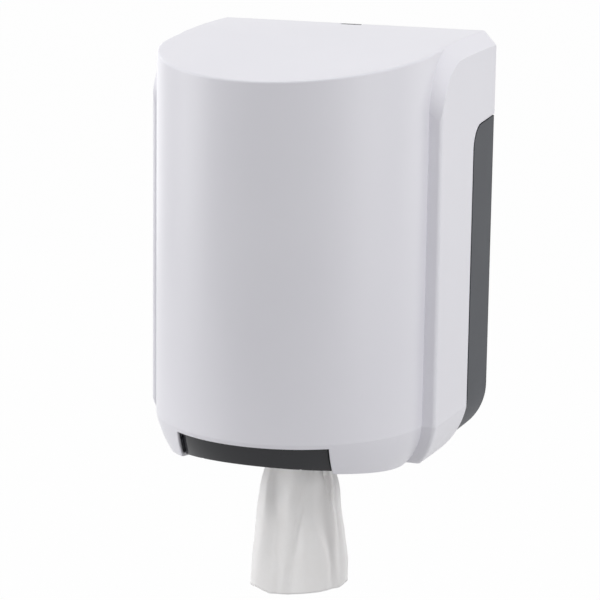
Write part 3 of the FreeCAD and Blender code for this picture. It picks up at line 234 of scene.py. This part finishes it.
def smoked_plastic():
    """Polished smoked plastic: dark, glossy and a little see-through, with faint handling marks."""
    f = Finish("smoked_plastic")
    smear = f.noise(35.0, 5.0, 0.6, f.stretched(1.0, 1.0, 3.0), 0.4)
    scratch = f.noise(900.0, 4.0, 0.7, f.stretched(0.12, 1.0, 3.0))
    f.set(Base_Color=f.between(smear, *SMOKE), Roughness=f.span(smear, 0.05, 0.13, CLOUD_RANGE), IOR=1.45,
          Specular_IOR_Level=0.47, Transmission_Weight=0.12, Normal=f.bump(scratch, 0.00001, 0.2))
    return f.material


def nylon():
    """Cloudy off-white nylon of the hinge's bushes."""
    f = Finish("nylon")
    cloud = f.noise(300.0, 3.0)
    f.set(Base_Color=f.between(cloud, *NYLON_WHITE), Roughness=f.span(cloud, 0.35, 0.5),
          Subsurface_Weight=0.1, Subsurface_Scale=0.001,
          Normal=f.bump(f.noise(1800.0, 2.0), 0.00003, 0.4))
    return f.material


def ribbed_rubber():
    """Dusty black rubber."""
    f = Finish("ribbed_rubber")
    dust = f.noise(420.0, 4.0, 0.6)
    f.set(Base_Color=f.between(dust, *RUBBER_BLACK), Roughness=f.span(dust, 0.6, 0.8),
          Normal=f.bump(f.noise(3200.0, 2.0), 0.00004, 0.6))
    return f.material


def zinc_plate():
    """Turned steel with a zinc coat."""
    f = Finish("zinc_plate")
    turned = f.noise(2200.0, 4.0, 0.6, f.stretched(1.0, 0.15, 0.15))
    bloom = f.noise(160.0, 3.0)
    f.set(Base_Color=f.between(bloom, *ZINC_GREY), Metallic=1.0,
          Roughness=f.span(turned, 0.22, 0.42), Normal=f.bump(turned, 0.00002, 0.35))
    return f.material


def tissue(name, colours):
    """Soft two-ply tissue: a fine crepe across the strip and a field of small embossed dots."""
    f = Finish(name)
    crepe = f.noise(900.0, 3.0, 0.6, f.stretched(0.5, 0.5, 2.2))
    fibre = f.noise(2600.0, 4.0, 0.7)
    dots = f.cells(230.0, "SMOOTH_F1")
    cloud = f.clouds(60.0, 4.0, 0.6)
    f.set(Base_Color=f.between(cloud, *colours), Roughness=f.span(fibre, 0.86, 0.98), IOR=1.35,
          Sheen_Weight=0.3, Sheen_Roughness=0.6,
          Normal=f.bump(crepe, 0.00012, 0.55, f.bump(fibre, 0.00004, 0.5, f.bump(dots, 0.0003, 0.25))))
    return f.material


def paint(names, material):
    """The material put on these nodes of the CAD."""
    for name in names:
        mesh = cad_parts[name].data
        mesh.materials.clear()
        mesh.materials.append(material)


# Paper

PLY = 0.3               # thickness of the two-ply tissue, mm
STRIP_WIDTH = 205.0     # width of the strip, the height of the roll less a little play, mm
ROLL_AXIS_Y = -123.18   # the roll's axis in the CAD, mm
MOUTH_Z = -164.0        # the nozzle's mouth, mm
STRIP_COLUMNS = 264
TAIL_ROWS = 64
STRAND_ROWS = 34
CURVE_STEPS = 900       # steps along a row before it is divided evenly
TINY = 1e-9

# Pleats of the gathered strip. Places along a row run from 0 to 1.
PLEATS = 12
PLEAT_DRIFT, PLEAT_DRIFT_RATE = 0.9, 9.0    # how uneven the pleats are, and how often that comes round
FRONT_START, FRONT_END = 0.06, 0.96         # the part of a row that is seen from the front
FRONT_BLEND = 0.1
FRONT_PLEATS_END = 16.0                     # depth at which the front has lost its pleats, mm
DEEPEST_PLEAT = 14.0                        # mm
DEPTH_TRIES = 30                            # halvings in the search for the pleats' depth
HEM_START = 0.55                            # share of the tail where rows begin to follow the torn end

# Crumpling: how fine each noise is, per mm, where it starts, and its depth in mm
BROAD_RATE, BROAD_START, BROAD_DEPTH = 0.055, Vector((3.1, 0.0, 7.7)), 0.5
FINE_RATES, FINE_DEPTH = (0.2, 0.2, 0.14), 0.13
CREASE_RATE, CREASE_START, CREASE_DEPTH = 0.12, Vector((11.0, 5.0, 2.0)), 0.12
CREASE_SHARPNESS, CREASE_POWER = 2.6, 3

# Rows of the hanging strip, mm. Each has its depth below the mouth, then its folds from the back end, round
# the left side and the front, to the other end at the back: x, and y from the roll's axis (front negative).
TAIL_FOLDS = (
    (9.0, (3, 6), (-9, 7), (-19.2, 2), (-15.2, -5), (-10.2, -4), (-4, -5.5), (4, -7.5), (11, -7),
     (14, -5.5), (17, -4.4), (19.5, -1.8), (22.5, 0.8), (26, 1.6), (28, -0.5), (29.5, 1), (24, 6),
     (13, 6)),
    (21.0, (4, 6), (-11, 7), (-23.8, 1), (-19.2, -6.5), (-14.2, -4), (-6, -5.5), (4, -9), (13, -8.5),
     (17.5, -6), (20.8, -4.2), (23.5, -1.4), (27, 1.4), (31.5, 2), (33.8, -1), (35.2, 1), (29, 7),
     (15, 7)),
    (41.0, (6, 8), (-13, 9), (-28.8, 1.5), (-22.2, -7.5), (-15.7, -4), (-8, -5.5), (0, -9.5), (7, -8.8),
     (11.5, -6.6), (15.3, -5.2), (19.5, -3.2), (25.5, 1.2), (32.5, 2.2), (37, -2.5), (39.4, 0.5),
     (32, 8), (16, 9)),
    (51.0, (7, 8), (-14, 10), (-30.4, 2), (-23.2, -7.8), (-13.7, -5.5), (-8, -7), (-1, -9.5), (5.5, -9),
     (9.5, -6), (13, -6.2), (18.5, -5), (26.5, 1.4), (34.5, 1.6), (38.5, -3), (40.8, 0.5), (33, 8.5),
     (17, 9.5)),
    (60.0, (8, 8), (-15, 10), (-31.5, 2), (-24.2, -8), (-12.7, -8), (-8, -8.2), (-1, -9.5), (4.5, -9.2),
     (8, -6.8), (12.5, -7.6), (20.5, -6), (28, 0.4), (36, 0.6), (40.2, -3.5), (42.6, 0), (34, 9),
     (18, 10)),
    (80.0, (10, 8), (-17, 10), (-33.2, 2), (-26.2, -8), (-14.2, -8.5), (-10, -8.6), (-2, -9.5),
     (2.5, -9), (6, -7.9), (14, -9), (27, -6), (32, -0.8), (37, -0.5), (42, -3.5), (45.2, 1), (36, 9),
     (18, 10)),
    (100.0, (12, 8), (-19, 10), (-35.2, 2), (-28.2, -7.5), (-16.2, -9), (-9.2, -9), (-4, -9.5),
     (-1, -9.2), (3, -8.8), (14, -9.5), (30, -6), (34, -2), (38, -1.5), (43, -3.5), (47, 1), (38, 9),
     (18, 10)),
    (124.0, (12, 7), (-19, 9.5), (-36.5, 2), (-31.2, -7), (-18.2, -9.5), (-10.2, -9.3), (-6, -9.6),
     (-3, -9.4), (2, -9.2), (14, -10), (30, -7), (36, -3.5), (40, -3), (44, -3), (46.6, 1.5), (38, 9),
     (18, 10)),
)
# The torn end of the strip: x and height, mm.
HEM = ((-40, -285.0), (-30, -283.9), (-17, -287.4), (0, -286.4), (27, -281.0), (42, -276.6), (45.6, -273.5),
       (50, -266.0))
# The gathered strand above the mouth: height above it and radius of the bundle, mm.
STRAND = ((0.0, 9.0), (14.0, 9.0), (30.0, 10.0), (52.0, 14.0), (74.0, 24.0), (92.0, 30.6))
ARC_START, ARC_END = 100.0, 440.0   # degrees from the right, the open side of the bundle being at the back


def smooth(t):
    t = np.clip(t, 0.0, 1.0)
    return t * t * (3.0 - 2.0 * t)


def curve_through(keys, values, at):
    """Smooth cubic through the values at the keys, for one place or many."""
    keys, values, at = np.asarray(keys, float), np.asarray(values, float), np.asarray(at, float)
    slope = np.gradient(values, keys, axis=0)
    i = np.clip(np.searchsorted(keys, at, side="right") - 1, 0, len(keys) - 2)
    span = keys[i + 1] - keys[i]
    t = (at - keys[i]) / span
    shape = t.shape + (1,) * (values.ndim - 1)
    t, span = t.reshape(shape), span.reshape(shape)
    return ((2 * t**3 - 3 * t**2 + 1) * values[i] + (t**3 - 2 * t**2 + t) * span * slope[i]
            + (3 * t**2 - 2 * t**3) * values[i + 1] + (t**3 - t**2) * span * slope[i + 1])


def bundle(radius, count):
    angles = np.radians(np.linspace(ARC_START, ARC_END, count))
    return np.stack([np.cos(angles), np.sin(angles)], axis=1) * radius


def length(points):
    return np.linalg.norm(np.diff(points, axis=0), axis=1).sum()


def gathered_row(controls, front):
    """One row of the strip: the folds' curve, pleated until it is as long as the strip is wide.

    front is how much of the pleating shows on the front, from 0 to 1."""
    u = np.linspace(0.0, 1.0, CURVE_STEPS)
    base = curve_through(np.linspace(0.0, 1.0, len(controls)), controls, u)
    ahead = np.gradient(base, axis=0)
    ahead /= np.linalg.norm(ahead, axis=1)[:, None]
    across = np.stack([-ahead[:, 1], ahead[:, 0]], axis=1)
    back = 1.0 - smooth((u - FRONT_START) / FRONT_BLEND) * smooth((FRONT_END - u) / FRONT_BLEND)
    share = back + (1.0 - back) * front
    wave = np.sin(2.0 * math.pi * PLEATS * u + PLEAT_DRIFT * np.sin(PLEAT_DRIFT_RATE * u)) * share

    def pleated(depth):
        return base + across * (wave * depth)[:, None]

    low, high = 0.0, DEEPEST_PLEAT
    for _ in range(DEPTH_TRIES):
        depth = (low + high) / 2.0
        if length(pleated(depth)) < STRIP_WIDTH:
            low = depth
        else:
            high = depth
    points = pleated(low)
    along = np.concatenate([[0.0], np.cumsum(np.linalg.norm(np.diff(points, axis=0), axis=1))])
    even = np.linspace(0.0, along[-1], STRIP_COLUMNS)
    return np.stack([np.interp(even, along, points[:, i]) for i in (0, 1)], axis=1)


def strip_rows():
    """Rows from the top of the funnel, through the mouth, down to the torn end."""
    keyed = np.array([row[1:] for row in TAIL_FOLDS], float)
    count = keyed.shape[1]
    depths = np.array([0.0] + [row[0] for row in TAIL_FOLDS])
    folds = np.concatenate([bundle(STRAND[0][1], count)[None], keyed])
    heights, radii = np.array(STRAND).T
    rows = []
    for height in np.linspace(heights[-1], 0.0, STRAND_ROWS)[:-1]:
        ring = gathered_row(bundle(float(curve_through(heights, radii, height)), count), 1.0)
        rows.append(np.column_stack([ring, np.full(len(ring), MOUTH_Z + height)]))
    for depth in np.linspace(0.0, depths[-1], TAIL_ROWS):
        front = float(1.0 - smooth(depth / FRONT_PLEATS_END))
        flat = gathered_row(curve_through(depths, folds, depth), front)
        hem = np.interp(flat[:, 0], *np.array(HEM).T)
        share = depth / depths[-1]
        follow = smooth((share - HEM_START) / (1.0 - HEM_START))
        rows.append(np.column_stack([flat, MOUTH_Z - (depth + follow * (MOUTH_Z - hem - depths[-1]))]))
    return np.array(rows)


def outward(grid):
    """The direction at right angles to the sheet at each point of its grid."""
    out = np.cross(np.gradient(grid, axis=0), np.gradient(grid, axis=1))
    return out / (np.linalg.norm(out, axis=2)[:, :, None] + TINY)


def crumpled(grid):
    """Small creases and waves, as paper has that was pulled through a mouth."""
    out = outward(grid)
    made = grid.copy()
    for i in range(grid.shape[0]):
        for j in range(grid.shape[1]):
            place = Vector(grid[i, j])
            broad = noise.noise(place * BROAD_RATE + BROAD_START)
            fine = noise.noise(Vector([value * rate for value, rate in zip(place, FINE_RATES)]))
            crease = 1.0 - abs(noise.noise(place * CREASE_RATE + CREASE_START)) * CREASE_SHARPNESS
            made[i, j] += out[i, j] * (BROAD_DEPTH * broad + FINE_DEPTH * fine
                                       + CREASE_DEPTH * max(0.0, crease) ** CREASE_POWER)
    return made


def thickened(grid, thickness):
    """A grid of points made into a closed sheet with two faces and a rim."""
    rows, columns = grid.shape[:2]
    half = outward(grid) * thickness / 2
    count = rows * columns
    points = np.concatenate([(grid + half).reshape(-1, 3), (grid - half).reshape(-1, 3)])
    index = np.arange(count).reshape(rows, columns)
    quads = np.stack([index[:-1, :-1], index[1:, :-1], index[1:, 1:], index[:-1, 1:]], axis=2).reshape(-1, 4)
    faces = quads.tolist() + (quads[:, ::-1] + count).tolist()
    rim = np.concatenate([index[0, :], index[1:, -1], index[-1, -2::-1], index[-2:0:-1, 0]])
    following = np.roll(rim, -1)
    faces += np.stack([rim, following, following + count, rim + count], axis=1).tolist()
    return points, faces


def add_piece(name, points, faces, body, material):
    """A smooth mesh, given in millimetres, that rides on one body."""
    mesh = bpy.data.meshes.new(name)
    mesh.from_pydata([tuple(p) for p in np.asarray(points) * MM], [], faces)
    mesh.polygons.foreach_set("use_smooth", [True] * len(mesh.polygons))
    mesh.materials.append(material)
    mesh.update()
    piece = bpy.data.objects.new(name, mesh)
    bpy.context.scene.collection.objects.link(piece)
    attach(piece, body)
    return piece


def add_paper_strip(material):
    grid = strip_rows()
    grid[:, :, 1] += ROLL_AXIS_Y
    grid = crumpled(grid)
    piece = add_piece("paper_strip", *thickened(grid, PLY), "base", material)
    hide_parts("paper_strand", "paper_tail")


# Wound roll, in mm

ROLL_RADIUS = 98.0
ROLL_CORE = 32.0
ROLL_LOW, ROLL_HIGH = -122.0, 88.0
RIM_RADIUS = 3.0
ROLL_STEPS = 220                    # steps round the roll
END_TURNS = 22                      # turns of the winding that show on the ends
TURN_PITCH = (ROLL_RADIUS - ROLL_CORE) / END_TURNS
TURN_STEPS = 4
CORE_STEPS, SIDE_STEPS, RIM_STEPS = 26, 70, 6
CORE_MARGIN = 1.0                   # from the core to the first step of an end
EDGE_ANGLE = math.radians(-62.0)    # where the loose outer edge lies
EDGE_START = 0.93                   # share of a turn where the loose edge begins to lift

# The ends sink between the turns. Noise is given as its rate round the roll and along the other way.
END_SINK, TURN_SINK, RAGGED_SHARE, RAGGED_SINK = 0.35, 0.55, 0.4, 0.5
END_NOISE, SIDE_NOISE, CORE_NOISE = (3.0, 0.16), (2.0, 0.02), (1.5, 0.03)
SIDE_INSET, SIDE_SLACK = 1.5, 0.35
CORE_INSET, CORE_SLACK = 0.5, 0.5


def roll_profile():
    """Radius, height and relief (1 on the ends) round half of the roll's section, from the core upwards."""
    high, low = ROLL_HIGH - RIM_RADIUS, ROLL_LOW + RIM_RADIUS
    shoulder = ROLL_RADIUS - RIM_RADIUS
    quarter = math.pi / 2
    rows = [(ROLL_CORE, z, 0.0) for z in np.linspace(low, high, CORE_STEPS)]
    outwards = np.linspace(ROLL_CORE + CORE_MARGIN, shoulder, END_TURNS * TURN_STEPS)
    rows += [(r, ROLL_HIGH, 1.0) for r in outwards]
    rows += [(shoulder + RIM_RADIUS * math.sin(a), high + RIM_RADIUS * math.cos(a), 0.0)
             for a in np.linspace(0.0, quarter, RIM_STEPS)[1:]]
    rows += [(ROLL_RADIUS, z, 0.0) for z in np.linspace(high, low, SIDE_STEPS)[1:]]
    rows += [(shoulder + RIM_RADIUS * math.sin(a), low - RIM_RADIUS * math.cos(a), 0.0)
             for a in np.linspace(quarter, 0.0, RIM_STEPS)[1:]]
    inwards = np.linspace(shoulder, ROLL_CORE + CORE_MARGIN, END_TURNS * TURN_STEPS)
    rows += [(r, ROLL_LOW, 1.0) for r in inwards[1:]]
    return rows


def uneven(angle, along, rates):
    """Noise round the roll and along a radius or its height."""
    return noise.noise(Vector((math.cos(angle) * rates[0], math.sin(angle) * rates[0], along * rates[1])))


def wound_point(angle, r, z, relief):
    """One point of the roll, moved from the plain profile as paper wound with some slack is."""
    turn = ((angle - EDGE_ANGLE) / (2.0 * math.pi)) % 1.0
    if relief:
        ridge = math.sin(2.0 * math.pi * (r / TURN_PITCH - turn)) ** 2
        ragged = uneven(angle, r, END_NOISE)
        sink = (END_SINK + TURN_SINK * ridge * (1.0 - RAGGED_SHARE + RAGGED_SHARE * ragged)
                + RAGGED_SINK * max(0.0, ragged))
        z += -sink if z > 0 else sink
    elif r > ROLL_RADIUS - RIM_RADIUS / 2:
        lift = smooth((turn - EDGE_START) / (1.0 - EDGE_START))
        r -= SIDE_INSET * (1.0 - lift) + SIDE_SLACK * abs(uneven(angle, z, SIDE_NOISE))
    elif r < ROLL_CORE + CORE_MARGIN / 2:
        r += CORE_INSET + CORE_SLACK * abs(uneven(angle, z, CORE_NOISE))
    return r * math.cos(angle), ROLL_AXIS_Y + r * math.sin(angle), z


def add_wound_roll(material):
    profile = roll_profile()
    angles = [2.0 * math.pi * k / ROLL_STEPS for k in range(ROLL_STEPS)]
    points = [wound_point(angle, *row) for row in profile for angle in angles]
    faces = []
    for i in range(len(profile)):
        a, b = i * ROLL_STEPS, ((i + 1) % len(profile)) * ROLL_STEPS
        for k in range(ROLL_STEPS):
            n = (k + 1) % ROLL_STEPS
            faces.append((a + k, a + n, b + n, b + k))
    piece = add_piece("paper_wound", points, faces, "base", material)
    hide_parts("paper_roll")


# Studio

FLOOR_DROP = 0.16           # floor below the paper's end, so that the open cover clears it, metres
FLOOR_HALF = 14.0           # half the floor's side
FLOOR_GLOW = 0.985          # share of plain white where the floor is seen, the rest keeping the shadow
WORLD_STRENGTH = 0.45
MIDDLE = (0.0, -0.12, 0.0)  # where the soft boxes are aimed
# Soft boxes: name, place, width, height, watts
SOFT_BOXES = (
    ("left_light", (-1.9, -0.75, 0.35), 1.2, 1.8, 18.0),
    ("right_light", (1.85, -0.6, 0.5), 1.2, 1.8, 12.5),
    ("top_light", (0.0, -0.5, 2.0), 1.6, 1.2, 14.0),
    ("back_left_light", (-1.7, 1.4, 0.3), 1.2, 1.6, 5.0),
    ("back_right_light", (1.7, 1.4, 0.3), 1.2, 1.6, 5.0),
)
# Narrow lamp with a soft edge, for the hanging paper
PAPER_LAMP_PLACE = (-0.95, -1.0, -0.3)
PAPER_LAMP_AIM = (0.0, -0.12, -0.25)
PAPER_LAMP_WATTS = 12.0
PAPER_LAMP_CONE = math.radians(16.0)
PAPER_LAMP_SIZE = 0.15


def hang_lamp(lamp, place, aim):
    item = bpy.data.objects.new(lamp.name, lamp)
    item.location = place
    item.rotation_euler = (Vector(aim) - Vector(place)).to_track_quat("-Z", "Y").to_euler()
    bpy.context.scene.collection.objects.link(item)


def add_soft_box(name, place, width, height, watts):
    lamp = bpy.data.lights.new(name, "AREA")
    lamp.shape = "RECTANGLE"
    lamp.size = width
    lamp.size_y = height
    lamp.energy = watts
    hang_lamp(lamp, place, MIDDLE)


def add_paper_lamp():
    lamp = bpy.data.lights.new("paper_light", "SPOT")
    lamp.energy = PAPER_LAMP_WATTS
    lamp.spot_size = PAPER_LAMP_CONE
    lamp.spot_blend = 1.0
    lamp.shadow_soft_size = PAPER_LAMP_SIZE
    hang_lamp(lamp, PAPER_LAMP_PLACE, PAPER_LAMP_AIM)


def seen(tree):
    """One where the surface is looked at directly, in a reflection or through something clear."""
    path = tree.nodes.new("ShaderNodeLightPath")
    total = path.outputs["Is Camera Ray"]
    for name in ("Is Glossy Ray", "Is Transmission Ray"):
        add = tree.nodes.new("ShaderNodeMath")
        add.operation = "MAXIMUM"
        tree.links.new(total, add.inputs[0])
        tree.links.new(path.outputs[name], add.inputs[1])
        total = add.outputs["Value"]
    return total


def add_world():
    """White where it is looked at, and dimmer as a source of light."""
    world = bpy.data.worlds.new("studio")
    bpy.context.scene.world = world
    world.use_nodes = True
    tree = world.node_tree
    backdrop = tree.nodes["Background"]
    backdrop.inputs["Color"].default_value = (1.0, 1.0, 1.0, 1.0)
    amount = tree.nodes.new("ShaderNodeMapRange")
    amount.inputs["To Min"].default_value = WORLD_STRENGTH
    amount.inputs["To Max"].default_value = 1.0
    tree.links.new(seen(tree), amount.inputs["Value"])
    tree.links.new(amount.outputs["Result"], backdrop.inputs["Strength"])


def floor_material():
    """White floor that keeps a trace of the shadow where it is looked at."""
    f = Finish("white_floor")
    speck = f.noise(40.0, 3.0)
    f.set(Base_Color=f.between(speck, *FLOOR_GREY), Roughness=0.9)
    glow = f.node("ShaderNodeEmission", Strength=1.0)
    mix = f.node("ShaderNodeMixShader")
    f.feed(mix.inputs[0], f.sums("MULTIPLY", seen(f.tree), FLOOR_GLOW))
    f.tree.links.new(f.shader.outputs[0], mix.inputs[1])
    f.tree.links.new(glow.outputs[0], mix.inputs[2])
    f.tree.links.new(mix.outputs[0], f.tree.nodes["Material Output"].inputs["Surface"])
    return f.material


def add_studio():
    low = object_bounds()[0][2] - FLOOR_DROP
    side = FLOOR_HALF
    mesh = bpy.data.meshes.new("floor")
    mesh.from_pydata([(-side, -side, low), (side, -side, low), (side, side, low), (-side, side, low)], [],
                     [(0, 1, 2, 3)])
    floor = bpy.data.objects.new("floor", mesh)
    bpy.context.scene.collection.objects.link(floor)
    mesh.materials.append(floor_material())
    add_world()
    for box in SOFT_BOXES:
        add_soft_box(*box)
    add_paper_lamp()
    bpy.context.scene.view_settings.view_transform = "Standard"


add_camera()
add_studio()
paint(["front_cover"], white_moulding())
paint(["back_base", "roll_shelf", "lock_plate", "lock_bolt"], base_moulding())
paint(["front_window"], smoked_plastic())
paint(["hinge_bush_left", "hinge_bush_right"], nylon())
paint(["outlet_nozzle"], nozzle_moulding())
paint(["grip_ring"], ribbed_rubber())
paint(["cover_catch", "hinge_pin_left", "hinge_pin_right", "hinge_clips", "shelf_screws", "window_screws",
       "lock_screws", "bolt_spring"], zinc_plate())
add_wound_roll(tissue("wound_tissue", ROLL_WHITE))
# painted light: the strip's tissue is lighter than the roll's
add_paper_strip(tissue("tissue", STRIP_LIT_WHITE))
